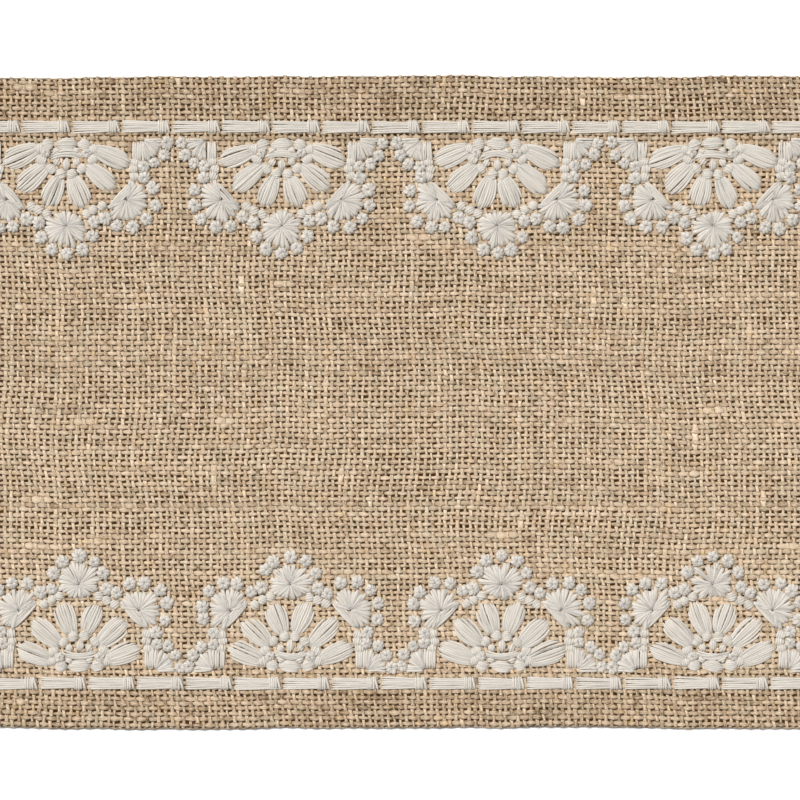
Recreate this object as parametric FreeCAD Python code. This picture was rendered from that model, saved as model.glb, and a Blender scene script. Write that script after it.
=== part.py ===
"""Embroidered hessian table runner, lying flat.

Millimetres. +X runs along the runner, +Y across it, +Z up. The origin is on the table, under
the middle of the runner. "front" is the border at -Y and "back" is the border at +Y.

The cloth is turned under along all four edges, so the rim is two layers thick. A line of
couched bars holds each side hem. Half-flower scallops stand inside the bars and point to the
middle of the runner. A pair of quarter fans fills the gap between one scallop and the next.
"""
import FreeCAD, Part
import math
import os

# Runner
runner_length = 1829.0
runner_width = 305.0
cloth_thickness = 1.1
corner_radius = 3.0
end_hem_depth = 11.5
ramp_run = 1.5
fold_round = 0.9 * cloth_thickness

# Border line of couched bars: each bar is a bundle of strands with a wrap near its far end
bar_width = 6.0
bar_height = 0.9
bar_gap = 0.9
wrap_length = 5.0
wrap_side = 0.35
wrap_clearance = 0.03
wrap_from_bar_end = 0.6
hem_past_bars = 0.5

# Each border has its own place and repeat. A stagger is where one repeat starts, from x = 0.
front = {
    "side": -1,
    "bar_line_from_edge": 20.9,
    "bar_pitch": 22.80,
    "bar_stagger": -4.7,
    "scallop_pitch": 98.9,
    "scallop_stagger": 2.9,
}
back = {
    "side": 1,
    "bar_line_from_edge": 23.7,
    "bar_pitch": 23.39,
    "bar_stagger": -8.7,
    "scallop_pitch": 100.9,
    "scallop_stagger": 0.0,
}
scallop_count = 18

# Scallop: a half flower. Its own frame has u along the border and v towards the middle of the
# runner, with its origin on the core, this far inside the line of bars.
core_from_bars = 6.6
stitch_height = 0.9
knot_height = 1.2

core_blocks = [(0.0, 1.1, 10.6, 4.4), (-8.9, 1.5, 5.0, 4.6), (8.9, 1.5, 5.0, 4.6)]
core_band = (0.0, 6.0, 15.0, 3.4)
ray_middle = (11.6, 2.6, 6.0)
ray_side = (4.6, 10.4, 2.4, 4.2, 28.0)
ties = [(12.4, 7.4, 66.0), (8.4, 12.0, 38.0), (3.1, 16.0, 12.0)]
tie_size = (4.2, 2.8)

petal_width = 8.6
petals = [
    ((14.8, 3.9), (30.0, 11.3)),
    ((10.9, 14.0), (22.0, 23.2)),
    ((3.9, 18.6), (7.9, 31.0)),
]

fan_radius = 9.0
fan_centres = [(0.0, 39.6, 90.0, 6.0), (28.3, 27.6, 44.0, 5.6), (-28.3, 27.6, 136.0, 5.6)]
picot_count = 7
picot_spread = 97.0
picot_from_centre = 12.9
picot_radius = 2.5
links = [(14.6, 31.0, 32.0), (10.3, 33.2, 14.0), (32.0, 16.4, 75.0), (32.4, 9.6, 90.0)]
link_size = (3.2, 2.2)

# Quarter fan, beside a scallop and just inside the line of bars
quarter_centre = (36.1, 0.6)
quarter_radius = 8.0
quarter_picot_angles = [0.0, 30.0, 60.0, 90.0]
quarter_picot_from_centre = 10.7
quarter_picot_radius = 2.2
quarter_picot_lift = 1.2

# Machine stitching that holds the end hems
hem_stitch_pitch = 4.0
hem_stitch_length = 3.2
hem_stitch_width = 0.7
hem_stitch_height = 0.4
hem_stitch_from_fold = 9.0

panel_top = cloth_thickness
rim_top = 2.0 * cloth_thickness
half_length = runner_length / 2.0
half_width = runner_width / 2.0


def side_hem_depth(border):
    return border["bar_line_from_edge"] + bar_width / 2.0 + hem_past_bars


def box(x0, x1, y0, y1, z0, z1):
    return Part.makeBox(x1 - x0, y1 - y0, z1 - z0, FreeCAD.Vector(x0, y0, z0))


def rectangle_wire(x0, x1, y0, y1, z):
    corners = [(x0, y0), (x1, y0), (x1, y1), (x0, y1), (x0, y0)]
    return Part.makePolygon([FreeCAD.Vector(x, y, z) for x, y in corners])


def point(x, y, z=0.0):
    return FreeCAD.Vector(x, y, z)


def raised(edges, height):
    """A flat pad: the closed outline made by the edges, extruded up from z = 0."""
    return Part.Face(Part.Wire(edges)).extrude(point(0, 0, height))


def turned(shape, degrees, x, y):
    """The shape turned about +Z and then moved to x, y."""
    shape.rotate(point(0, 0), point(0, 0, 1), degrees)
    shape.translate(point(x, y))
    return shape


def oval_pad(length, width, height):
    """A short satin block: straight sides with a half circle at each end, along X."""
    end_radius = width / 2.0
    straight = length / 2.0 - end_radius
    edges = [
        Part.LineSegment(point(-straight, -end_radius), point(straight, -end_radius)).toShape(),
        Part.Arc(
            point(straight, -end_radius),
            point(straight + end_radius, 0),
            point(straight, end_radius),
        ).toShape(),
        Part.LineSegment(point(straight, end_radius), point(-straight, end_radius)).toShape(),
        Part.Arc(
            point(-straight, end_radius),
            point(-straight - end_radius, 0),
            point(-straight, -end_radius),
        ).toShape(),
    ]
    return raised(edges, height)


def leaf_pad(start, end, width, height):
    """A satin petal from start to end: two arcs that meet in a point at both ends."""
    along_u = end[0] - start[0]
    along_v = end[1] - start[1]
    length = math.hypot(along_u, along_v)
    left = Part.Arc(point(0, 0), point(length / 2.0, width / 2.0), point(length, 0)).toShape()
    right = Part.Arc(point(length, 0), point(length / 2.0, -width / 2.0), point(0, 0)).toShape()
    leaf = raised([left, right], height)
    return turned(leaf, math.degrees(math.atan2(along_v, along_u)), start[0], start[1])


def fan_pad(radius, chord, height):
    """A round fan of rays, cut straight on the side at -X, at the chord's distance."""
    reach = math.sqrt(radius**2 - chord**2)
    arc = Part.Arc(point(-chord, -reach), point(radius, 0), point(-chord, reach)).toShape()
    base = Part.LineSegment(point(-chord, reach), point(-chord, -reach)).toShape()
    return raised([arc, base], height)


def picot(radius, x, y):
    return Part.makeCylinder(radius, knot_height, point(x, y))


def fan(u, v, direction, chord):
    """A fan of rays with a ring of picots round its outer side."""
    pieces = [turned(fan_pad(fan_radius, chord, stitch_height), direction, u, v)]
    step = 2.0 * picot_spread / (picot_count - 1)
    for i in range(picot_count):
        angle = math.radians(direction - picot_spread + i * step)
        reach_u = picot_from_centre * math.cos(angle)
        reach_v = picot_from_centre * math.sin(angle)
        pieces.append(picot(picot_radius, u + reach_u, v + reach_v))
    return pieces


def scallop_solids():
    """One half flower in its own frame, standing on z = 0."""
    pieces = []
    for u, v, length, width in core_blocks + [core_band]:
        pieces.append(turned(oval_pad(length, width, stitch_height), 0, u, v))
    v, width, length = ray_middle
    pieces.append(turned(oval_pad(length, width, stitch_height), 90, 0, v))
    for mirror in (1, -1):
        u, v, width, length, lean = ray_side
        ray = oval_pad(length, width, stitch_height)
        pieces.append(turned(ray, 90 - mirror * lean, mirror * u, v))
        for u, v, lean in ties:
            tie = oval_pad(tie_size[0], tie_size[1], knot_height)
            pieces.append(turned(tie, -mirror * lean, mirror * u, v))
        for start, end in petals:
            start = (mirror * start[0], start[1])
            end = (mirror * end[0], end[1])
            pieces.append(leaf_pad(start, end, petal_width, stitch_height))
        for u, v, lean in links:
            link = oval_pad(link_size[0], link_size[1], stitch_height)
            pieces.append(turned(link, -mirror * lean, mirror * u, v))
    for u, v, direction, chord in fan_centres:
        pieces += fan(u, v, direction, chord)
    return pieces


def quarter_fan_solids(side):
    """One quarter fan in a scallop's frame, on the scallop's right (1) or left (-1)."""
    corner = point(0, 0)
    right = point(quarter_radius, 0)
    middle = point(quarter_radius * math.sqrt(0.5), quarter_radius * math.sqrt(0.5))
    top = point(0, quarter_radius)
    edges = [
        Part.LineSegment(corner, right).toShape(),
        Part.Arc(right, middle, top).toShape(),
        Part.LineSegment(top, corner).toShape(),
    ]
    pad = raised(edges, stitch_height)
    if side < 0:
        pad = turned(pad, 90, 0, 0)
    pieces = [turned(pad, 0, side * quarter_centre[0], quarter_centre[1])]
    for degrees in quarter_picot_angles:
        angle = math.radians(degrees)
        u = quarter_centre[0] + quarter_picot_from_centre * math.cos(angle)
        v = quarter_centre[1] + quarter_picot_from_centre * math.sin(angle) + quarter_picot_lift
        pieces.append(picot(quarter_picot_radius, side * u, v))
    return pieces


def placed(solids, border, x):
    """Solids from a scallop's frame, set on the panel at x, with v towards the middle."""
    side = border["side"]
    y = side * (half_width - border["bar_line_from_edge"] - core_from_bars)
    moved = []
    for solid in solids:
        copy = solid.copy()
        if side > 0:
            copy = copy.mirror(point(0, 0), point(0, 1, 0))
        copy.translate(point(x, y, panel_top))
        moved.append(copy)
    return moved


def scallop_places(border):
    """The x of each scallop's middle, left to right."""
    first = border["scallop_stagger"] - border["scallop_pitch"] * (scallop_count - 1) / 2.0
    return [first + i * border["scallop_pitch"] for i in range(scallop_count)]


def bar_places(border):
    """The x where each bar starts, for every bar that fits between the end hems."""
    limit = half_length - end_hem_depth - ramp_run
    pitch = border["bar_pitch"]
    first = math.ceil((-limit - border["bar_stagger"]) / pitch)
    last = math.floor((limit - border["bar_stagger"]) / pitch)
    return [border["bar_stagger"] + i * pitch for i in range(first, last)]


def ground_cloth():
    """The hessian cloth: one layer in the middle, stepping up over the hems at the rim."""
    cloth = box(-half_length, half_length, -half_width, half_width, 0, rim_top)
    upright = [e for e in cloth.Edges if abs(e.BoundBox.ZLength - rim_top) < 1e-6]
    cloth = cloth.makeFillet(corner_radius, upright)
    level = [e for e in cloth.Edges if e.BoundBox.ZLength < 1e-6]
    cloth = cloth.makeFillet(fold_round, level)
    cloth = cloth.cut(hem_space())
    inner_x = half_length - end_hem_depth
    inner_front = half_width - side_hem_depth(front)
    inner_back = half_width - side_hem_depth(back)
    low = rectangle_wire(
        -inner_x + ramp_run,
        inner_x - ramp_run,
        -inner_front + ramp_run,
        inner_back - ramp_run,
        panel_top,
    )
    high = rectangle_wire(-inner_x, inner_x, -inner_front, inner_back, rim_top)
    above = rectangle_wire(-inner_x, inner_x, -inner_front, inner_back, rim_top + 1.0)
    recess = Part.makeLoft([low, high], True).fuse(Part.makeLoft([high, above], True))
    return cloth.cut(recess)


def hem_space():
    """The room under the rim that the turned-under hems fill, as one ring."""
    outer_x = half_length - cloth_thickness
    outer_y = half_width - cloth_thickness
    ring = box(-outer_x, outer_x, -outer_y, outer_y, 0, panel_top)
    panel = box(
        -half_length + end_hem_depth,
        half_length - end_hem_depth,
        -half_width + side_hem_depth(front),
        half_width - side_hem_depth(back),
        0,
        panel_top,
    )
    return ring.cut(panel)


def side_hem(border):
    """The layer of cloth turned under along one side, for the whole length."""
    outer_x = half_length - cloth_thickness
    outer = border["side"] * (half_width - cloth_thickness)
    inner = border["side"] * (half_width - side_hem_depth(border))
    return box(-outer_x, outer_x, min(outer, inner), max(outer, inner), 0, panel_top)


def end_hem(end):
    """The layer turned under at one end, between the side hems."""
    outer = end * (half_length - cloth_thickness)
    inner = end * (half_length - end_hem_depth)
    y0 = -half_width + side_hem_depth(front)
    y1 = half_width - side_hem_depth(back)
    return box(min(outer, inner), max(outer, inner), y0, y1, 0, panel_top)


def dome_face(width, height, x):
    """An upright face across the border line: flat below, with one arc over it."""
    arc = Part.Arc(point(x, -width / 2.0), point(x, 0, height), point(x, width / 2.0)).toShape()
    base = Part.LineSegment(point(x, width / 2.0), point(x, -width / 2.0)).toShape()
    return Part.Face(Part.Wire([arc, base]))


def border_line_y(border):
    return border["side"] * (half_width - border["bar_line_from_edge"])


def border_bars(border):
    """The bundles of long strands, end to end along the border."""
    bars = []
    for start in bar_places(border):
        length = border["bar_pitch"] - bar_gap
        bar = dome_face(bar_width, bar_height, start + bar_gap / 2.0).extrude(point(length, 0))
        bar.translate(point(0, border_line_y(border), rim_top))
        bars.append(bar)
    return bars


def border_wraps(border):
    """The short bands of stitches that tie each bundle down near its far end."""
    inner_width = bar_width + 2.0 * wrap_clearance
    inner_height = bar_height + wrap_clearance
    outer_width = inner_width + 2.0 * wrap_side
    outer_height = inner_height + wrap_side
    wraps = []
    for start in bar_places(border):
        x = start + border["bar_pitch"] - bar_gap / 2.0 - wrap_from_bar_end - wrap_length
        outer = dome_face(outer_width, outer_height, x).extrude(point(wrap_length, 0))
        inner = dome_face(inner_width, inner_height, x - 1.0).extrude(point(wrap_length + 2.0, 0))
        wrap = outer.cut(inner)
        wrap.translate(point(0, border_line_y(border), rim_top))
        wraps += wrap.Solids
    return wraps


def quarter_fans(border):
    """The two facing quarter fans in every gap between neighbouring scallops."""
    places = scallop_places(border)
    pieces = []
    for x in places[:-1]:
        pieces += placed(quarter_fan_solids(1), border, x)
    for x in places[1:]:
        pieces += placed(quarter_fan_solids(-1), border, x)
    return pieces


def end_hem_stitches(end):
    """A row of straight machine stitches across one end, on top of the rim."""
    x = end * (half_length - hem_stitch_from_fold)
    y0 = -half_width + side_hem_depth(front)
    y1 = half_width - side_hem_depth(back)
    count = int((y1 - y0) / hem_stitch_pitch)
    first = (y0 + y1) / 2.0 - hem_stitch_pitch * (count - 1) / 2.0
    stitches = []
    for i in range(count):
        stitch = oval_pad(hem_stitch_length, hem_stitch_width, hem_stitch_height)
        stitch = turned(stitch, 90, x, first + i * hem_stitch_pitch)
        stitch.translate(point(0, 0, rim_top))
        stitches.append(stitch)
    return stitches


def save(name, solids):
    shape = solids[0] if len(solids) == 1 else Part.makeCompound(solids)
    shape.exportStep(f"parts/{name}.step")
    print(f"{name}: {len(shape.Solids)} solids, {shape.Volume:.1f} mm3, valid {shape.isValid()}")


def main():
    os.makedirs("parts", exist_ok=True)
    save("ground_cloth", ground_cloth().Solids)
    scallop = scallop_solids()
    for name, border in (("front", front), ("back", back)):
        save(f"side_hem_{name}", [side_hem(border)])
        save(f"border_bars_{name}", border_bars(border))
        save(f"border_wraps_{name}", border_wraps(border))
        save(f"quarter_fans_{name}", quarter_fans(border))
        for i, x in enumerate(scallop_places(border)):
            save(f"scallop_{name}_{i + 1:02d}", placed(scallop, border, x))
    for name, end in (("left", -1), ("right", 1)):
        save(f"end_hem_{name}", [end_hem(end)])
        save(f"end_hem_stitches_{name}", end_hem_stitches(end))


main()
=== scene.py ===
"""Looks of an embroidered hessian table runner, lying flat.

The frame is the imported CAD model: +X along the runner, +Y across it, +Z up. Lengths below are
in millimetres and become metres when a mesh is made. The ground cloth and its hems are woven
yarn by yarn, and the embroidery is laid strand by strand on top of it.
"""
import math

import bpy
import numpy as np
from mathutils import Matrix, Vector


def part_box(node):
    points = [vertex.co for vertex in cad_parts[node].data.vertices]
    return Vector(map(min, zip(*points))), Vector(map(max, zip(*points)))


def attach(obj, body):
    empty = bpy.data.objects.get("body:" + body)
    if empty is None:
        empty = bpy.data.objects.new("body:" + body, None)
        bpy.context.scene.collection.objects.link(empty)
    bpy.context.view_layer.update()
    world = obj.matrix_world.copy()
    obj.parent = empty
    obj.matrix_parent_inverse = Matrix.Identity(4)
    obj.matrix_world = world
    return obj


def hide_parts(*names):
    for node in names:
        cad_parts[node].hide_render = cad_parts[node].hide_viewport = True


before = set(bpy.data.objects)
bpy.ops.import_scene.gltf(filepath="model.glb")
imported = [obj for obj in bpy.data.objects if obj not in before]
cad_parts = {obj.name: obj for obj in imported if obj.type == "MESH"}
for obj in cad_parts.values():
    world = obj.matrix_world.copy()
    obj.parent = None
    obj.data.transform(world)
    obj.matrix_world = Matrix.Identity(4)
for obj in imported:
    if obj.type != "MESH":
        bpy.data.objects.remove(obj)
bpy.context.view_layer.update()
MM = 0.001

# Weave of the ground cloth. Crosswise yarns run along Y and lengthwise yarns along X.
crosswise_pitch = 2.93
lengthwise_pitch = 2.446
crosswise_half_width = 0.92
lengthwise_half_width = 1.01
yarn_half_height = 0.32
crimp = 0.35
cloth_middle = crimp + yarn_half_height
# How far below the middle the dark sheet of painted shade and loose fibres lies
fibres_and_shade_below_middle = 0.22

# How much a yarn's height in its family adds to its tone, as painted light and shade. The
# crosswise family is turned over when it is woven, so lengthwise yarns are lighter on top and
# crosswise ones underneath.
painted_shade_by_height = 0.9

# Hems: how far they lift the top layer, and over what distance it comes down inside them
rim_lift = 1.25
fold_radius = rim_lift / 2.0
ramp_run = 4.0

# Cloth beyond the runner's edge that each family of yarns has for the hems
side_allowance = 31
end_allowance = 15

# Where the woven pieces end, in the flat cloth: how far past the middle of a fold they end or
# start, and how far they stay from a neighbour or from the runner's end
ground_past_edge = 0.6
side_hem_from_edge = 0.65
end_hem_from_edge = 0.05
end_hem_from_side_hem = 0.6
side_hem_from_end = 1.2

# The rounded outline of a yarn or strand: parts of its half width and half height, from below
outline_across = np.array([-0.60, -1.0, -0.60, 0.60, 1.0, 0.60])
outline_up = np.array([-0.86, 0.0, 0.86, 0.86, 0.0, -0.86])

# How far each strand's part of its material's noise is from the part of the strand before it
noise_seat = 3.7

# Border line
sides_of_runner = {"front": -1, "back": 1}
bar_count = {"front": 78, "back": 76}
bar_gap = 0.9

# Motifs. Each has its own frame: u along the runner, v from the border line to the middle. Its
# origin is a little inside the edge of its node by the border line.
scallop_count = 18
scallop_origin_inside = 1.1
petal_half_width = 4.9

# The base and the tip of the petals on a motif's right half
petals = [((11.6, 3.2), (30.0, 10.6)), ((8.6, 10.4), (22.3, 23.0)), ((2.8, 15.9), (8.6, 31.0))]

# Small blocks on a motif's right half: u, v and the angle of their strands
ties = [(13.0, 3.8, 80), (11.8, 8.6, 60), (7.4, 12.9, 38), (2.6, 15.4, 10)]
tie_size = (5.4, 4.4)
links = [
    (16.6, 30.4, 40), (13.0, 32.2, 24), (9.3, 34.0, 14),
    (32.0, 16.4, 75), (31.4, 13.0, 80), (32.4, 9.6, 90),
]
link_size = (5.2, 3.8)

# Fans: the centre, the way it faces in degrees, and whether it is a whole round one
fans = [((0, 39.6), 90, True), ((28.3, 27.6), 44, False), ((-28.3, 27.6), 136, False)]
fan_reach = 10.2
picot_count = 7
picot_spread = 97
picot_reach = 12.9
picot_radius = 2.95

# Quarter fans beside a motif
quarter_centre = (36.1, -0.1)
quarter_picot_reach = 10.7
quarter_picot_radius = 2.75
quarter_picot_lift = 1.2

# Running stitches across the end hems
hem_stitch_pitch = 4.0
hem_stitch_half = 1.6

# Camera: the point it looks down on, and the width that it sees
camera_aim = (4.85, 1.0)
view_width = 375


def box_mm(node):
    """A node's lowest and highest corners, in millimetres."""
    low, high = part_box(node)
    return np.array(low) / MM, np.array(high) / MM


cloth_low, cloth_high = box_mm("ground_cloth")
half_length = cloth_high[0]
half_width = cloth_high[1]
end_hem_depth = half_length - box_mm("end_hem_right")[0][0]
side_hem_depth = {
    "front": half_width + box_mm("side_hem_front")[1][1],
    "back": half_width - box_mm("side_hem_back")[0][1],
}


# ---------------------------------------------------------------- smooth seeded randomness

def smooth_rows(rng, rows, samples, spacing):
    """Rows of smooth noise: a new normal value about every spacing samples."""
    knots = rng.normal(size=(rows, int(samples / spacing) + 4))
    place = np.arange(samples) / spacing + rng.uniform(0, 1, size=(rows, 1))
    whole = np.floor(place).astype(int)
    part = place - whole
    part = part * part * (3 - 2 * part)
    row = np.arange(rows)[:, None]
    return knots[row, whole] * (1 - part) + knots[row, whole + 1] * part


def waves(seed, lengths, along):
    """A sum of sine waves of the given lengths over the values in along."""
    rng = np.random.default_rng(seed)
    total = np.zeros_like(along)
    for length in lengths:
        total += np.sin(2 * np.pi * along / length + rng.uniform(0, 2 * np.pi))
    return total / math.sqrt(len(lengths))


# ---------------------------------------------------------------- meshes

class Strands:
    """Collects closed tubes, all in one mesh, with two attributes for their material.

    "tone" is how light a point is; on the cloth's yarns it holds painted light and shade from their
    height as well as their own tone. "strand" is its place on its own strand: how far along, how
    far to the side of the middle line, and a number of the strand's own.
    """

    def __init__(self):
        self.points = []
        self.faces = []
        self.caps = []
        self.tones = []
        self.places = []
        self.slots = []
        self.count = 0

    def add(self, rings, tone, along, width, slot=0):
        """rings is strands x columns x sides x 3; the others have one value per ring."""
        strands, columns, sides = rings.shape[:3]
        index = np.arange(strands * columns * sides).reshape(strands, columns, sides) + self.count
        here = index[:, :-1]
        ahead = index[:, 1:]
        quads = np.stack([here, np.roll(here, -1, 2), np.roll(ahead, -1, 2), ahead], -1)
        self.faces.append(quads.reshape(-1, 4))
        start = index[:, 0, ::-1]
        end = index[:, -1]
        self.caps.append(np.concatenate([start, end]))
        self.points.append(rings.reshape(-1, 3))
        self.tones.append(np.repeat(tone.reshape(-1), sides))
        lateral = outline_across * width[:, :, None]
        along = np.broadcast_to(along[:, :, None], rings.shape[:3])
        own = np.broadcast_to(np.arange(strands)[:, None, None] * noise_seat, rings.shape[:3])
        self.places.append(np.stack([along, lateral, own], -1).reshape(-1, 3))
        self.slots.append(np.full(len(self.faces[-1]) + len(self.caps[-1]), slot))
        self.count += strands * columns * sides

    def build(self, name, materials):
        """One object with everything collected so far."""
        points = np.concatenate(self.points) * MM
        loops, totals = [], []
        for quads, caps in zip(self.faces, self.caps):
            loops += [quads.ravel(), caps.ravel()]
            totals += [np.full(len(quads), 4), np.full(len(caps), caps.shape[1])]
        mesh = mesh_from(name, points, np.concatenate(loops), np.concatenate(totals))
        mesh.polygons.foreach_set("material_index", np.concatenate(self.slots).astype(np.int32))
        tone = mesh.attributes.new("tone", "FLOAT", "POINT")
        tone.data.foreach_set("value", np.concatenate(self.tones).astype(np.float32))
        strand = mesh.attributes.new("strand", "FLOAT_VECTOR", "POINT")
        strand.data.foreach_set("vector", np.concatenate(self.places).astype(np.float32).ravel())
        return linked(name, mesh, materials)


def mesh_from(name, points, loops, totals):
    """A smooth-shaded mesh from its points, corner indices and corners per face."""
    mesh = bpy.data.meshes.new(name)
    mesh.vertices.add(len(points))
    mesh.vertices.foreach_set("co", points.astype(np.float32).ravel())
    mesh.loops.add(len(loops))
    mesh.loops.foreach_set("vertex_index", loops.astype(np.int32))
    mesh.polygons.add(len(totals))
    starts = np.concatenate([[0], np.cumsum(totals)[:-1]])
    mesh.polygons.foreach_set("loop_start", starts.astype(np.int32))
    mesh.polygons.foreach_set("loop_total", totals.astype(np.int32))
    mesh.update(calc_edges=True)
    mesh.shade_smooth()
    return mesh


def linked(name, mesh, materials):
    """A new object with this mesh and these materials, in the scene."""
    piece = bpy.data.objects.new(name, mesh)
    bpy.context.scene.collection.objects.link(piece)
    for material in materials:
        mesh.materials.append(material)
    return piece


# ---------------------------------------------------------------- ground cloth

def fold_over(flat, half):
    """Where a flat distance from the middle ends up once the edge is turned under.

    Returns the place, the drop below the top layer, and the normal's two parts.
    """
    side = np.sign(flat)
    reach = np.abs(flat)
    straight = half - fold_radius
    angle = np.clip((reach - straight) / fold_radius, 0, math.pi)
    returned = np.maximum(reach - straight - math.pi * fold_radius, 0)
    place = np.minimum(reach, straight) + fold_radius * np.sin(angle) - returned
    drop = fold_radius * (1 - np.cos(angle))
    return side * place, drop, side * np.sin(angle), np.cos(angle)


def rim(distance, depth):
    """1 where two layers lie on each other, 0 inside the hem, with a soft step between."""
    part = np.clip((depth + ramp_run - distance) / ramp_run, 0, 1)
    return part * part * (3 - 2 * part)


def lift_at(x, y):
    """How far the hem under it lifts the top layer."""
    hem = np.where(y > 0, side_hem_depth["back"], side_hem_depth["front"])
    across = rim(half_width - np.abs(y), hem)
    along = rim(half_length - np.abs(x), end_hem_depth)
    return rim_lift * np.maximum(across, along)


def drift(u, v):
    """The uneven run of the yarns: how far the cloth has shifted, along and across."""
    along = 0.9 * waves(1, (610, 330, 190), v + 0.3 * u)
    along += 0.85 * waves(2, (131, 83, 47), v + 0.2 * u)
    across = 0.40 * waves(3, (410, 230, 143), u + 0.2 * v) + 0.20 * waves(4, (71, 43, 29), u)
    return along, across


def cloth_point(u, v, height):
    """The place in space of a point of the flat cloth, at a height above its middle layer."""
    x, drop_u, normal_x, level_u = fold_over(u, half_length)
    y, drop_v, normal_y, level_v = fold_over(v, half_width)
    drop = np.minimum(drop_u + drop_v, rim_lift)
    lift = np.maximum(lift_at(x, y), drop)
    z = cloth_middle + lift - drop + height * level_u * level_v
    shift_x, shift_y = drift(x, y)
    height = height * (1 - 0.6 * np.abs(normal_x)) * (1 - 0.6 * np.abs(normal_y))
    return np.stack([x + height * normal_x + shift_x, y + height * normal_y + shift_y, z], -1)


def shade_at(u, v):
    """The hems are a little darker, one value per ring."""
    return 0.7 * lift_at(u, v)[:, :, 0] / rim_lift


class Family:
    """All the yarns of one direction, in the flat cloth: where they run and how thick they are.

    Every array has one row per yarn and one column per step along it. A yarn has two steps to
    each yarn that it crosses, one before it and one on it, and one more at its end.
    """

    def __init__(self, seed, reach, pitch, other_reach, other_pitch, half_width_mm, looks):
        """looks is three values.

        They are how uneven the spacing is, how much wider a yarn is where its height is positive,
        and how far it leans to one side between the yarns it crosses.
        """
        rng = np.random.default_rng(seed)
        jitter, swell, slant = looks
        self.numbers = np.arange(-round(reach / pitch), round(reach / pitch))
        self.places = (self.numbers + 0.5) * pitch + jitter * rng.normal(size=len(self.numbers))
        crossings = np.arange(-round(other_reach / other_pitch), round(other_reach / other_pitch))
        offsets = np.arange(2 * len(crossings) + 1) / 2 - 0.5
        self.crossing = crossings[0] + offsets
        yarns = len(self.numbers)
        columns = len(offsets)
        phase = self.numbers[:, None] + self.crossing[None, :]
        self.height = crimp * np.tanh(1.4 * np.cos(np.pi * phase)) / math.tanh(1.4)
        width = 1 + 0.09 * rng.normal(size=(yarns, 1)) + 0.10 * smooth_rows(rng, yarns, columns, 16)
        width += 0.10 * smooth_rows(rng, yarns, columns, 2.5)
        slub = np.clip(smooth_rows(rng, yarns, columns, 11) - 2.0, 0, 1)
        thin = np.clip(smooth_rows(rng, yarns, columns, 40) - 2.0, 0, 0.55)
        width = np.clip(width + 1.4 * slub - thin, 0.45, 1.9) * (1 + swell * np.cos(np.pi * phase))
        self.width = half_width_mm * width * (1 - 0.10 * np.sin(np.pi * phase) ** 2)
        self.plump = yarn_half_height * np.clip(width, 0.7, 1.3) ** 0.5
        self.wander = 0.08 * smooth_rows(rng, yarns, columns, 9)
        self.wander += 0.07 * smooth_rows(rng, yarns, columns, 2.0)
        lean = slant * (1 + 0.5 * smooth_rows(rng, yarns, columns, 12))
        self.wander += lean * np.sin(np.pi * phase)
        self.tone = 0.22 * rng.normal(size=(yarns, 1)) + 0.35 * smooth_rows(rng, yarns, columns, 12)
        self.tone = self.tone + 0.65 * smooth_rows(rng, yarns, columns, 2.5) + 2.0 * slub
        # Painted light and shade: lighter where the yarn is high in its family, darker where it is
        # low
        self.tone = self.tone + painted_shade_by_height * self.height / crimp

    def along(self, other):
        """Where the steps fall along the yarn: on and between the yarns it crosses."""
        first = other.numbers[0]
        pitch = (other.places[-1] - other.places[0]) / (len(other.places) - 1)
        inner = np.interp(self.crossing, other.numbers, other.places)
        before = np.minimum(self.crossing - first, 0) * pitch
        after = np.maximum(self.crossing - other.numbers[-1], 0) * pitch
        return inner + before + after

    def rings(self, other, across_range, along_range):
        """Rings round the yarns inside a rectangle, with their tones and half widths."""
        along = self.along(other)
        rows = (self.places >= across_range[0]) & (self.places < across_range[1])
        columns = np.flatnonzero((along > along_range[0]) & (along < along_range[1]))
        columns = np.arange(max(columns[0] - 1, 0), min(columns[-1] + 2, len(along)))
        pick = np.ix_(np.flatnonzero(rows), columns)
        centre = self.places[rows][:, None] + self.wander[pick]
        across = centre[:, :, None] + self.width[pick][:, :, None] * outline_across
        height = self.height[pick][:, :, None] + self.plump[pick][:, :, None] * outline_up
        place = np.clip(along[columns], *along_range)
        place = np.broadcast_to(place[None, :, None], across.shape)
        return place, across, height, self.tone[pick], self.width[pick]


def woven(name, along_range, across_range, materials):
    """A piece of plain weave over a rectangle of the flat cloth, yarn by yarn.

    Where a lengthwise yarn is high the crosswise one is low, so one family is turned over.
    """
    strands = Strands()
    u, v, height, tone, width = lengthwise.rings(crosswise, across_range, along_range)
    strands.add(cloth_point(u, v, height), tone - shade_at(u, v), u[:, :, 0], width, 0)
    v, u, height, tone, width = crosswise.rings(lengthwise, along_range, across_range)
    strands.add(cloth_point(u, v, -height), tone - shade_at(u, v), v[:, :, 0], width, 1)
    return strands.build(name, materials)


def fibres_and_shade_layer(name, material):
    """A dark sheet low in the top layer that closes the openings: painted shade for the shadow in
    them, and the loose fibres that partly fill them.
    """
    inset = fold_radius + 0.4
    u = np.linspace(-half_length + inset, half_length - inset, 601)
    v = np.linspace(-half_width + inset, half_width - inset, 161)
    grid_u, grid_v = np.meshgrid(u, v, indexing="ij")
    points = cloth_point(grid_u, grid_v, np.full(grid_u.shape, -fibres_and_shade_below_middle))
    index = np.arange(grid_u.size).reshape(grid_u.shape)
    quads = np.stack([index[:-1, :-1], index[1:, :-1], index[1:, 1:], index[:-1, 1:]], -1)
    quads = quads.reshape(-1, 4)
    totals = np.full(len(quads), 4)
    mesh = mesh_from(name, points.reshape(-1, 3) * MM, quads.ravel(), totals)
    return linked(name, mesh, [material])


# ---------------------------------------------------------------- embroidery

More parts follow.
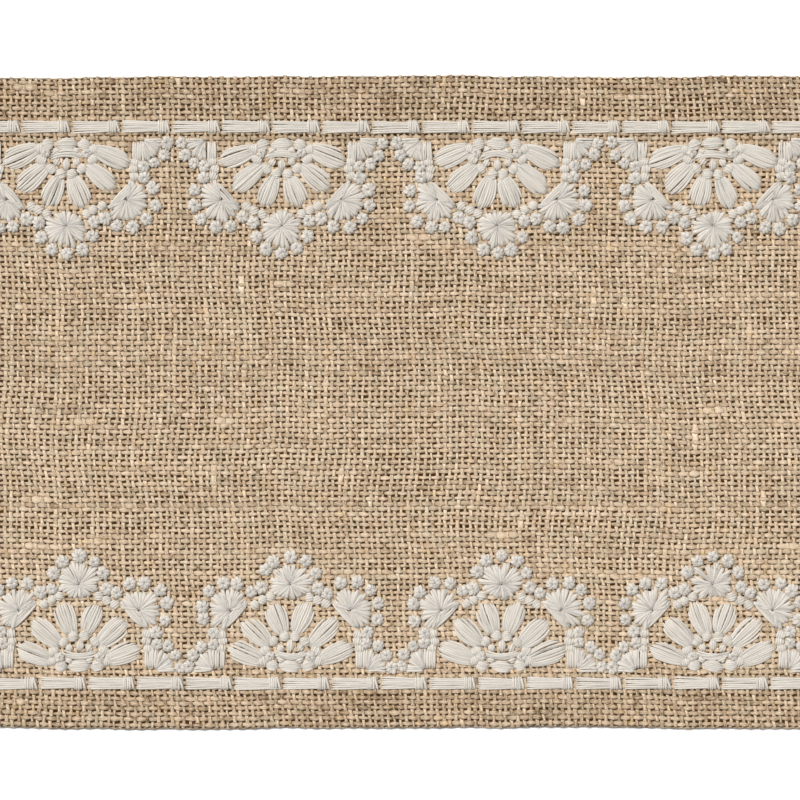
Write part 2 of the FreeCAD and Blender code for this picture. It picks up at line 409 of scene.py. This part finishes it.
class Spot:
    """Where a motif is worked: u runs along the runner, v from the edge towards its middle."""

    def __init__(self, x, y, side):
        self.x = x
        self.y = y
        self.side = side

    def lay(self, strands, u, v, lift, half_width_mm, half_height, tone):
        """Lay strands of thread, with one row per strand and one column per step along it.

        Any argument may have a single row, column or value for all of them.
        """
        arrays = np.broadcast_arrays(u, v, lift, half_width_mm, half_height, tone)
        u, v, lift, half_width_mm, half_height, tone = arrays
        x = self.x + u
        y = self.y - self.side * v
        z = 2 * cloth_middle + lift_at(x, y) + lift
        centre = np.stack([x, y, z], -1)
        run = np.gradient(centre, axis=1)
        run[..., 2] = 0
        run /= np.linalg.norm(run, axis=-1, keepdims=True) + 1e-9
        across = np.stack([-run[..., 1], run[..., 0], 0 * z], -1)
        side = across[:, :, None] * (half_width_mm[:, :, None] * outline_across)[..., None]
        up = (half_height[:, :, None] * outline_up)[..., None] * np.array([0, 0, 1.0])
        step = np.linalg.norm(np.diff(centre, axis=1, prepend=centre[:, :1]), axis=-1)
        strands.add(centre[:, :, None] + side + up, tone, np.cumsum(step, 1), half_width_mm)


def steps(count):
    """One row of places along a strand, from 0 to 1."""
    return np.linspace(0, 1, count)[None, :]


def arch(along, power):
    """0 at both ends of a strand and 1 in its middle."""
    return np.sin(np.pi * np.clip(along, 0, 1)) ** power


def tones(rng, count):
    """A tone for each strand."""
    return rng.normal(size=(count, 1))


def swollen(ends, gain, s, power=0.5):
    """Half a width or height that grows from a strand's ends to its middle."""
    return ends + gain * arch(s, power)


def petal(strands, spot, rng, base, tip):
    """A leaf of satin stitch from its base to its tip."""
    count = int(rng.integers(9, 11))
    base = np.array(base) + rng.normal(size=2) * 0.25
    tip = np.array(tip) + rng.normal(size=2) * 0.45
    length = np.linalg.norm(tip - base)
    axis = (tip - base) / length
    half = petal_half_width * (1 + 0.05 * rng.normal())
    t = np.linspace(-1, 1, count)[:, None] + 0.05 * rng.normal(size=(count, 1))
    s = steps(9)
    begin = 0.05 * np.abs(t) + 0.02 * rng.normal(size=t.shape)
    end = 1 - 0.17 * t * t + 0.025 * rng.normal(size=t.shape)
    along = begin + (end - begin) * s
    shape = arch(0.09 + 0.75 * along, 0.6) * (0.74 + 0.26 * along)
    across = t * half * shape + 0.10 * smooth_rows(rng, count, 9, 4) * arch(s, 0.5)
    u = base[0] + axis[0] * along * length - axis[1] * across
    v = base[1] + axis[1] * along * length + axis[0] * across
    lift = (0.95 - 0.35 * t * t) * arch(s, 0.45) - 0.45 + 0.08 * rng.normal(size=t.shape)
    half_width_mm = 0.34 + 0.33 * arch(s, 0.4) * (1 + 0.12 * rng.normal(size=t.shape))
    spot.lay(strands, u, v, lift, half_width_mm, swollen(0.25, 0.22, s, 0.4), tones(rng, count))


def block(strands, spot, rng, centre, size, angle):
    """A small satin block: short strands side by side along its length."""
    count = max(3, round(size[1] / 0.85))
    centre = np.array(centre) + rng.normal(size=2) * 0.18
    turned = math.radians(angle + 5 * rng.normal())
    t = np.linspace(-1, 1, count)[:, None]
    s = steps(5)
    reach = size[0] / 2 * (1 - 0.30 * t * t + 0.06 * rng.normal(size=t.shape))
    along = (2 * s - 1) * reach
    across = t * (size[1] / 2 - 0.4) * (0.75 + 0.25 * arch(s, 0.6))
    u = centre[0] + math.cos(turned) * along - math.sin(turned) * across
    v = centre[1] + math.sin(turned) * along + math.cos(turned) * across
    lift = (1.05 - 0.35 * t * t) * arch(s, 0.5) - 0.45 + 0.08 * rng.normal(size=t.shape)
    width = swollen(0.36, 0.30, s)
    spot.lay(strands, u, v, lift, width, swollen(0.28, 0.20, s), tones(rng, count))


def rays(strands, spot, rng, centre, angles, reach):
    """Strands that spread from a centre; angles in degrees, reach one length per ray."""
    count = len(angles)
    turned = np.radians(np.array(angles) + 1.5 * rng.normal(size=count))[:, None]
    s = steps(7)
    begin = 0.2 + 0.5 * rng.random(size=(count, 1))
    end = np.array(reach)[:, None] * (1 + 0.04 * rng.normal(size=(count, 1)))
    radius = begin + (end - begin) * s
    bend = turned + 0.05 * smooth_rows(rng, count, 7, 4)
    u = centre[0] + radius * np.cos(bend)
    v = centre[1] + radius * np.sin(bend)
    lift = 1.0 * (1 - s ** 4) - 0.42 - 0.15 * (1 - s) ** 4 + 0.10 * rng.normal(size=(count, 1))
    width = 0.36 + 0.86 * s * (1 - 0.45 * s ** 8)
    spot.lay(strands, u, v, lift, width, swollen(0.30, 0.15, s), tones(rng, count))


def fan(strands, spot, rng, centre, facing, full):
    """Lobes of three rays each round a centre; a side fan has a straight inner edge."""
    lobes = 12 if full else 9
    spread = 180 - 180 / lobes if full else 112
    gap = 8.8 if full else 8.4
    angles, reach = [], []
    for lobe in np.linspace(-spread, spread, lobes):
        inner = max(0, -math.cos(math.radians(lobe)))
        length = fan_reach * (1 + 0.06 * rng.normal()) * (1 - 0.34 * inner)
        angles += [facing + lobe - gap, facing + lobe, facing + lobe + gap]
        reach += [length * 0.93, length * 1.03, length * 0.93]
    rays(strands, spot, rng, centre, angles, reach)
    if not full:
        straight_edge(strands, spot, rng, centre, facing)


def straight_edge(strands, spot, rng, centre, facing):
    """Long strands across the inner side of a side fan."""
    turned = math.radians(facing)
    s = steps(9)
    back = np.array([[-1.6], [-2.6], [-3.6], [-4.5]])
    half = np.array([[7.4], [8.4], [8.9], [8.0]]) * (1 + 0.03 * rng.normal(size=back.shape))
    along = (2 * s - 1) * half
    behind = back + 0.25 * smooth_rows(rng, 4, 9, 5) + 0.48 * (2 * s - 1) ** 2
    u = centre[0] + math.cos(turned) * behind - math.sin(turned) * along
    v = centre[1] + math.sin(turned) * behind + math.cos(turned) * along
    lift = 0.95 * arch(s, 0.5) - 0.4
    width = swollen(0.36, 0.34, s)
    spot.lay(strands, u, v, lift, width, swollen(0.28, 0.17, s), tones(rng, 4))


def knot(strands, spot, rng, centre, radius, outward):
    """A round picot: short strands round a dimple, a little longer away from its fan."""
    count = int(rng.integers(8, 11))
    centre = np.array(centre) + rng.normal(size=2) * 0.25
    radius = radius * (1.0 + 0.06 * rng.normal())
    first = rng.uniform(0, 360)
    turned = np.radians(first + np.arange(count) * 360 / count + 7 * rng.normal(size=count))
    turned = turned[:, None]
    s = steps(5)
    far = radius * (1 + 0.12 * np.cos(turned - math.radians(outward)))
    far = far * (1 + 0.05 * rng.normal(size=turned.shape)) - 0.10
    along = 0.12 + (far - 0.12) * s
    swirl = turned + 0.7 * (s - 0.5) * rng.choice([-1, 1])
    u = centre[0] + along * np.cos(swirl)
    v = centre[1] + along * np.sin(swirl)
    lift = 1.25 * arch(0.27 + 0.68 * s, 0.7) - 0.5 + 0.10 * rng.normal(size=turned.shape)
    width = swollen(0.45, 0.78, 0.05 + 0.75 * s, 0.8)
    spot.lay(strands, u, v, lift, width, swollen(0.30, 0.20, s), tones(rng, count))


def band(strands, spot, rng):
    """The layered strands that curve across the top of the core."""
    rows = np.array([[0.0], [0.75], [1.5], [2.3]])
    s = steps(11)
    half = np.array([[7.4], [8.3], [8.8], [7.2]])
    u = (2 * s - 1) * half + 0.3 * rng.normal(size=rows.shape)
    v = 4.7 + rows + 1.7 * (2 * s - 1) ** 2 + 0.2 * smooth_rows(rng, 4, 11, 5)
    lift = 0.85 * arch(s, 0.5) - 0.38 + 0.1 * rng.normal(size=rows.shape)
    width = swollen(0.34, 0.30, s)
    spot.lay(strands, u, v, lift, width, swollen(0.28, 0.15, s), tones(rng, 4))


def core(strands, spot, rng):
    """The foot of a motif: three blocks, the band over them, and what is inside the petals."""
    block(strands, spot, rng, (0, 1.2), (11.4, 5.2), 0)
    block(strands, spot, rng, (-8.6, 1.7), (6.6, 4.9), -14)
    block(strands, spot, rng, (8.6, 1.7), (6.6, 4.9), 14)
    band(strands, spot, rng)
    for sign in (-1, 1):
        knot(strands, spot, rng, (sign * 9.4, 5.6), 2.4, 90 - 60 * sign)
    for sign in (-1, 1):
        block(strands, spot, rng, (sign * 4.6, 4.4), (4.2, 2.6), sign * 20)
    block(strands, spot, rng, (0, 11.0), (6.2, 3.0), 90)
    for sign in (-1, 1):
        block(strands, spot, rng, (sign * 4.6, 9.9), (4.6, 2.8), 90 - sign * 32)


def picots(strands, spot, rng, centre, facing):
    """Round knots on an arc round a fan."""
    for turn in np.linspace(-picot_spread, picot_spread, picot_count):
        angle = facing + turn + 1.5 * rng.normal()
        u = centre[0] + picot_reach * math.cos(math.radians(angle))
        v = centre[1] + picot_reach * math.sin(math.radians(angle))
        knot(strands, spot, rng, (u, v), picot_radius, angle)


def scallop(name, node, side, seed):
    """One whole motif of the border."""
    rng = np.random.default_rng(seed)
    low, high = box_mm(node)
    edge = low[1] if side < 0 else high[1]
    spot = Spot((low[0] + high[0]) / 2, edge - side * scallop_origin_inside, side)
    strands = Strands()
    core(strands, spot, rng)
    for sign in (-1, 1):
        for base, tip in petals:
            petal(strands, spot, rng, (sign * base[0], base[1]), (sign * tip[0], tip[1]))
        for blocks, size in ((ties, tie_size), (links, link_size)):
            for u, v, angle in blocks:
                turned = angle if sign > 0 else 180 - angle
                block(strands, spot, rng, (sign * u, v), size, turned)
    for centre, facing, full in fans:
        fan(strands, spot, rng, centre, facing, full)
        picots(strands, spot, rng, centre, facing)
    return finish_thread(name, strands, [node], thread)


def quarter_fan(strands, spot, rng, sign):
    """A quarter fan at one side of a motif: upright strands, rays and a straight base."""
    corner = (sign * quarter_centre[0], quarter_centre[1])
    uprights = [corner[0] - sign * shift for shift in (0.4, 1.5, 2.6, 3.7, 4.7)]
    s = steps(6)
    u = np.array(uprights)[:, None] + 0.2 * smooth_rows(rng, 5, 6, 4)
    v = 0.2 + s * (9.6 + 0.5 * rng.normal(size=(5, 1)))
    lift = arch(s, 0.5) - 0.42
    width = swollen(0.38, 0.34, s)
    spot.lay(strands, u, v, lift, width, swollen(0.28, 0.17, s), tones(rng, 5))
    angles = [90 - sign * (90 - a) for a in (86, 77, 68, 56, 47, 38, 26, 17, 8)]
    reach = [9.0, 9.4, 8.8, 8.8, 9.3, 8.6, 8.6, 9.0, 8.4]
    rays(strands, spot, rng, corner, angles, reach)
    s = steps(8)
    rows = np.array([[0.0], [1.0]])
    u = corner[0] + sign * (0.5 + 0.4 * rows + 8.4 * s)
    v = corner[1] - 0.7 + rows + 0.15 * smooth_rows(rng, 2, 8, 4)
    spot.lay(strands, u, v, 0.8 * arch(s, 0.5) - 0.3, 0.58, 0.4, tones(rng, 2))
    for turn in (0, 30, 60, 90):
        angle = 90 - sign * (90 - turn)
        u = corner[0] + quarter_picot_reach * math.cos(math.radians(angle))
        v = corner[1] + quarter_picot_reach * math.sin(math.radians(angle)) + quarter_picot_lift
        knot(strands, spot, rng, (u, v), quarter_picot_radius, angle)


def quarter_fans(name, node, side_name, seed):
    """All the quarter fans of one long side: two in every gap between neighbouring motifs."""
    rng = np.random.default_rng(seed)
    side = sides_of_runner[side_name]
    strands = Strands()
    for number in range(1, scallop_count + 1):
        low, high = box_mm(f"scallop_{side_name}_{number:02d}")
        edge = low[1] if side < 0 else high[1]
        spot = Spot((low[0] + high[0]) / 2, edge - side * scallop_origin_inside, side)
        for sign in (-1, 1):
            if 1 <= number + sign <= scallop_count:
                quarter_fan(strands, spot, rng, sign)
    return finish_thread(name, strands, [node], thread)


def bar_spots(side_name):
    """Where every bar on one side starts, how long each is, their middle line and half width."""
    low, high = box_mm(f"border_bars_{side_name}")
    count = bar_count[side_name]
    pitch = (high[0] - low[0] + bar_gap) / count
    starts = low[0] + np.arange(count) * pitch
    return starts, pitch - bar_gap, (low[1] + high[1]) / 2, (high[1] - low[1]) / 2


def bars(name, side_name, seed):
    """Long strands laid along the border line, bar by bar."""
    rng = np.random.default_rng(seed)
    starts, length, middle, half = bar_spots(side_name)
    strands = Strands()
    for start in starts:
        count = int(rng.integers(6, 8))
        spot = Spot(start, middle + 0.12 * rng.normal(), sides_of_runner[side_name])
        t = np.linspace(-1, 1, count)[:, None]
        s = steps(9)
        begin = 0.3 * rng.random(size=t.shape)
        u = begin + (length - 0.2 - begin) * s
        pinch = 0.80 + 0.20 * np.abs(np.clip((s - 0.74) / 0.7, -1, 0.2))
        v = t * (half - 0.5) * pinch + 0.12 * smooth_rows(rng, count, 9, 4)
        lift = (0.75 - 0.15 * t * t) * arch(s, 0.35) - 0.35 + 0.06 * rng.normal(size=t.shape)
        width = swollen(0.34, 0.19, s, 0.4)
        spot.lay(strands, u, v, lift, width, swollen(0.28, 0.16, s, 0.4), tones(rng, count))
    return finish_thread(name, strands, [f"border_bars_{side_name}"], thread)


def wraps(name, side_name, seed):
    """The upright strands that bind every bar near its end, and one slanting strand."""
    rng = np.random.default_rng(seed)
    starts, length, middle, half = bar_spots(side_name)
    side = sides_of_runner[side_name]
    sunk = np.array([[0], [0], [0], [0], [0.15]])
    strands = Strands()
    for start in starts:
        spot = Spot(start + length, middle, side)
        place = np.array([[-5.3], [-4.3], [-3.3], [-2.35]]) + 0.12 * rng.normal(size=(4, 1))
        place = np.concatenate([place, [[-1.1]]])
        slant = np.array([[0.1], [0.0], [-0.1], [0.1], [0.9 + 0.2 * rng.normal()]])
        s = steps(7)
        reach = (half + 0.15) * (1 + 0.03 * rng.normal(size=(5, 1)))
        v = (2 * s - 1) * reach
        u = place + slant * (2 * s - 1) * side
        lift = 1.15 * arch(s, 0.3) - 0.45 - sunk
        width = swollen(0.38, 0.20, s)
        spot.lay(strands, u, v, lift, width, swollen(0.30, 0.10, s), tones(rng, 5))
    return finish_thread(name, strands, [f"border_wraps_{side_name}"], thread)


def hem_thread(name, node, seed):
    """A row of running stitches across one end hem."""
    rng = np.random.default_rng(seed)
    low, high = box_mm(node)
    gap = hem_stitch_pitch - 2 * hem_stitch_half
    count = round((high[1] - low[1] + gap) / hem_stitch_pitch)
    spot = Spot((low[0] + high[0]) / 2, 0, 1)
    middle = low[1] + hem_stitch_half + hem_stitch_pitch * np.arange(count)[:, None]
    s = steps(5)
    v = -(middle + (2 * s - 1) * hem_stitch_half)
    u = 0.15 * rng.normal(size=(count, 1))
    thickness = swollen(0.25, 0.12, s)
    strands = Strands()
    spot.lay(strands, u, v, 0.35 * arch(s, 0.5) - 0.2, thickness, thickness, tones(rng, count))
    return finish_thread(name, strands, [node], sewing)


def finish_thread(name, strands, nodes, material):
    """Build a piece of thread work, attach it to the root body and hide the CAD parts it stands
    for.
    """
    piece = strands.build(name, [material])
    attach(piece, "root")
    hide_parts(*nodes)
    return piece


# ---------------------------------------------------------------- materials

def nodes_of(name, roughness, specular, sheen):
    """A new Principled material, with its node tree and shader."""
    material = bpy.data.materials.new(name)
    material.use_nodes = True
    tree = material.node_tree
    shader = tree.nodes["Principled BSDF"]
    shader.inputs["Roughness"].default_value = roughness
    shader.inputs["Specular IOR Level"].default_value = specular
    shader.inputs["Sheen Weight"].default_value = sheen
    shader.inputs["Sheen Roughness"].default_value = 0.5
    return material, tree, shader


def math_node(tree, operation, first, second):
    """The result of a Math node; each input is a number or another node's output."""
    node = tree.nodes.new("ShaderNodeMath")
    node.operation = operation
    for socket, value in zip(node.inputs, (first, second)):
        if isinstance(value, (int, float)):
            socket.default_value = value
        else:
            tree.links.new(value, socket)
    return node.outputs[0]


def strand_noise(tree, scale, lean, detail):
    """Noise drawn out along each strand, leaning round it as its twist does."""
    strand = tree.nodes.new("ShaderNodeAttribute")
    strand.attribute_name = "strand"
    split = tree.nodes.new("ShaderNodeSeparateXYZ")
    tree.links.new(strand.outputs["Vector"], split.inputs[0])
    twist = math_node(tree, "MULTIPLY", split.outputs["Y"], lean)
    turn = math_node(tree, "ADD", split.outputs["X"], twist)
    join = tree.nodes.new("ShaderNodeCombineXYZ")
    tree.links.new(math_node(tree, "MULTIPLY", turn, scale[0]), join.inputs[0])
    tree.links.new(math_node(tree, "MULTIPLY", split.outputs["Y"], scale[1]), join.inputs[1])
    tree.links.new(split.outputs["Z"], join.inputs[2])
    noise = tree.nodes.new("ShaderNodeTexNoise")
    noise.inputs["Scale"].default_value = 1.0
    noise.inputs["Detail"].default_value = detail
    tree.links.new(join.outputs[0], noise.inputs["Vector"])
    return noise.outputs["Fac"]


def colour_ramp(tree, value, stops):
    """Colours for a value, from stops of a position and a colour."""
    ramp = tree.nodes.new("ShaderNodeValToRGB")
    elements = ramp.color_ramp.elements
    while len(elements) < len(stops):
        elements.new(0.5)
    for element, (position, colour) in zip(elements, stops):
        element.position = position
        element.color = (*colour, 1)
    tree.links.new(value, ramp.inputs["Fac"])
    return ramp.outputs["Color"]


def bump(tree, shader, value, distance, strength):
    """Raise the shader's surface by a value; distance is in millimetres."""
    node = tree.nodes.new("ShaderNodeBump")
    node.inputs["Strength"].default_value = strength
    node.inputs["Distance"].default_value = distance * MM
    tree.links.new(value, node.inputs["Height"])
    tree.links.new(node.outputs["Normal"], shader.inputs["Normal"])


def tinted(tree, colour):
    """Patches a few yarns wide that lean towards grey, rose or gold."""
    place = tree.nodes.new("ShaderNodeTexCoord")
    noise = tree.nodes.new("ShaderNodeTexNoise")
    noise.inputs["Scale"].default_value = 150.0
    noise.inputs["Detail"].default_value = 2.0
    tree.links.new(place.outputs["Object"], noise.inputs["Vector"])
    tints = [
        (0.30, (0.96, 0.98, 0.97)),
        (0.48, (1.0, 0.98, 0.94)),
        (0.60, (1.0, 0.95, 0.92)),
        (0.72, (1.04, 0.97, 0.82)),
    ]
    mix = tree.nodes.new("ShaderNodeMix")
    mix.data_type = "RGBA"
    mix.blend_type = "MULTIPLY"
    mix.inputs["Factor"].default_value = 1.0
    tree.links.new(colour, mix.inputs["A"])
    tree.links.new(colour_ramp(tree, noise.outputs["Fac"], tints), mix.inputs["B"])
    return mix.outputs["Result"]


def yarn_material(name, stops, lean):
    """Jute yarn: streaks of fibre along its twist, a changing tone, and painted shade on its sides.
    """
    material, tree, shader = nodes_of(name, 0.82, 0.22, 0.12)
    fibre = strand_noise(tree, (0.55, 3.2), lean, 3.0)
    tone = tree.nodes.new("ShaderNodeAttribute")
    tone.attribute_name = "tone"
    shade = math_node(tree, "MULTIPLY", tone.outputs["Fac"], 0.085)
    mix = math_node(tree, "ADD", fibre, shade)
    strand = tree.nodes.new("ShaderNodeAttribute")
    strand.attribute_name = "strand"
    split = tree.nodes.new("ShaderNodeSeparateXYZ")
    tree.links.new(strand.outputs["Vector"], split.inputs[0])
    # Painted shade: darker towards each side of a yarn, lightest along its middle line
    side_shade = math_node(tree, "MULTIPLY", split.outputs["Y"], split.outputs["Y"])
    mix = math_node(tree, "SUBTRACT", mix, math_node(tree, "MULTIPLY", side_shade, 0.11))
    mix = math_node(tree, "ADD", mix, 0.035)
    colour = tinted(tree, colour_ramp(tree, mix, stops))
    tree.links.new(colour, shader.inputs["Base Color"])
    bump(tree, shader, fibre, 0.25, 0.7)
    return material


def fibres_and_shade_material():
    """Painted shade: near-black browns for the shadow and the loose fibres deep in the cloth's
    openings.
    """
    material, tree, shader = nodes_of("fibres_and_painted_shade", 0.95, 0.1, 0.0)
    noise = tree.nodes.new("ShaderNodeTexNoise")
    noise.inputs["Scale"].default_value = 420.0
    noise.inputs["Detail"].default_value = 3.0
    place = tree.nodes.new("ShaderNodeTexCoord")
    tree.links.new(place.outputs["Object"], noise.inputs["Vector"])
    # Painted shade: very dark browns
    stops = [(0.35, (0.028, 0.011, 0.002)), (0.7, (0.082, 0.040, 0.009))]
    tree.links.new(colour_ramp(tree, noise.outputs["Fac"], stops), shader.inputs["Base Color"])
    return material


def thread_material(name, stops):
    """Soft white cotton, with fine lines of fibre along every strand."""
    material, tree, shader = nodes_of(name, 0.7, 0.25, 0.1)
    shader.inputs["Subsurface Weight"].default_value = 0.45
    shader.inputs["Subsurface Radius"].default_value = (1.0, 1.0, 0.9)
    shader.inputs["Subsurface Scale"].default_value = 0.9 * MM
    fibre = strand_noise(tree, (0.15, 4.5), 0.12, 2.0)
    tone = tree.nodes.new("ShaderNodeAttribute")
    tone.attribute_name = "tone"
    mix = math_node(tree, "ADD", fibre, math_node(tree, "MULTIPLY", tone.outputs["Fac"], 0.05))
    tree.links.new(colour_ramp(tree, mix, stops), shader.inputs["Base Color"])
    bump(tree, shader, fibre, 0.22, 0.5)
    return material


lengthwise_jute = yarn_material(
    "jute_lengthwise",
    [(0.22, (0.128, 0.075, 0.034)), (0.45, (0.402, 0.303, 0.204)), (0.78, (0.68, 0.547, 0.41))],
    0.7,
)
# The crosswise copy has lighter colours than the lengthwise one: a painted highlight on the tight,
# high crests of the crosswise yarns
crosswise_jute = yarn_material(
    "jute_crosswise",
    [(0.20, (0.155, 0.092, 0.041)), (0.42, (0.48, 0.365, 0.243)), (0.75, (0.82, 0.678, 0.51))],
    -0.7,
)
jute = [lengthwise_jute, crosswise_jute]


# ---------------------------------------------------------------- floor, light and camera

def plain_floor():
    """A wide pale floor under the runner. Its size is in metres."""
    size = 40.0
    mesh = bpy.data.meshes.new("floor")
    corners = [(-size, -size, 0), (size, -size, 0), (size, size, 0), (-size, size, 0)]
    mesh.from_pydata(corners, [], [(0, 1, 2, 3)])
    material, tree, shader = nodes_of("floor", 0.9, 0.1, 0.0)
    shader.inputs["Base Color"].default_value = (0.92, 0.92, 0.92, 1)
    floor = linked("floor", mesh, [material])


def wide_light(name, direction, spread, strength):
    """A soft light from far away, the same over the whole runner."""
    light = bpy.data.lights.new(name, "SUN")
    light.angle = math.radians(spread)
    light.energy = strength
    lamp = bpy.data.objects.new(name, light)
    lamp.location = direction
    lamp.rotation_euler = (-lamp.location).to_track_quat("-Z", "Y").to_euler()
    bpy.context.scene.collection.objects.link(lamp)


def soft_sky(strength):
    """White light from all round."""
    world = bpy.data.worlds.new("soft_sky")
    bpy.context.scene.world = world
    world.use_nodes = True
    background = world.node_tree.nodes["Background"]
    background.inputs["Color"].default_value = (1, 1, 1, 1)
    background.inputs["Strength"].default_value = strength


def camera_above():
    """A long lens straight down on the middle of the runner."""
    data = bpy.data.cameras.new("camera")
    data.lens = 135
    data.sensor_width = 36
    height = view_width * data.lens / data.sensor_width
    camera = bpy.data.objects.new("camera", data)
    camera.location = (camera_aim[0] * MM, camera_aim[1] * MM, height * MM)
    bpy.context.scene.collection.objects.link(camera)
    bpy.context.scene.camera = camera


plain_floor()
soft_sky(0.33)
wide_light("key", (-0.75, 0.85, 1.8), 22, 3.9)
camera_above()
bpy.context.scene.view_settings.view_transform = "Standard"


# ---------------------------------------------------------------- the pieces

def cloth_piece(name, along_range, across_range, node, materials):
    """A woven piece that rides the only body and stands for one CAD solid."""
    piece = woven(name, along_range, across_range, materials)
    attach(piece, "root")
    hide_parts(node)
    return piece


turn_length = math.pi * fold_radius
flat_edge_u = half_length - fold_radius + turn_length / 2
flat_edge_v = half_width - fold_radius + turn_length / 2
hem_reach = {
    name: half_width - fold_radius + turn_length + depth - fold_radius
    for name, depth in side_hem_depth.items()
}
end_reach = half_length - fold_radius + turn_length + end_hem_depth - fold_radius
lengthwise = Family(
    21, half_width + side_allowance, lengthwise_pitch, half_length + end_allowance, crosswise_pitch,
    lengthwise_half_width, (0.10, 0.30, -0.05),
)
crosswise = Family(
    22, half_length + end_allowance, crosswise_pitch, half_width + side_allowance, lengthwise_pitch,
    crosswise_half_width, (0.14, 0.16, 0.17),
)

ground_reach = flat_edge_v + ground_past_edge
ground = cloth_piece(
    "woven_cloth", (-flat_edge_u, flat_edge_u), (-ground_reach, ground_reach),
    "ground_cloth", jute,
)
# The dark sheet of painted shade and loose fibres in the weave's openings
fibres_and_shade = fibres_and_shade_layer("fibres_and_painted_shade", fibres_and_shade_material())
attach(fibres_and_shade, "root")
hem_length = half_length - side_hem_from_end
for side_name, side in sides_of_runner.items():
    reach = sorted((side * (flat_edge_v + side_hem_from_edge), side * hem_reach[side_name]))
    cloth_piece(
        f"side_hem_cloth_{side_name}", (-hem_length, hem_length), tuple(reach),
        f"side_hem_{side_name}", jute,
    )
inner = (
    -half_width + side_hem_depth["front"] + end_hem_from_side_hem,
    half_width - side_hem_depth["back"] - end_hem_from_side_hem,
)
for end, way in (("left", -1), ("right", 1)):
    reach = sorted((way * (flat_edge_u + end_hem_from_edge), way * end_reach))
    cloth_piece(
        f"end_hem_cloth_{end}", tuple(reach), inner, f"end_hem_{end}", jute,
    )

thread = thread_material(
    "cotton_thread", [(0.25, (0.475, 0.437, 0.377)), (0.6, (0.63, 0.583, 0.518))]
)
sewing = thread_material("sewing_thread", [(0.2, (0.45, 0.34, 0.22)), (0.7, (0.66, 0.52, 0.36))])
for side_name, side in sides_of_runner.items():
    seed = 1000 if side < 0 else 2000
    bars(f"bar_strands_{side_name}", side_name, seed + 1)
    wraps(f"wrap_strands_{side_name}", side_name, seed + 2)
    quarter_fans(
        f"quarter_fan_strands_{side_name}", f"quarter_fans_{side_name}", side_name, seed + 3
    )
    for number in range(1, scallop_count + 1):
        node = f"scallop_{side_name}_{number:02d}"
        scallop(f"scallop_strands_{side_name}_{number:02d}", node, side, seed + 10 + number)
for end in ("left", "right"):
    hem_thread(f"hem_thread_{end}", f"end_hem_stitches_{end}", 31)
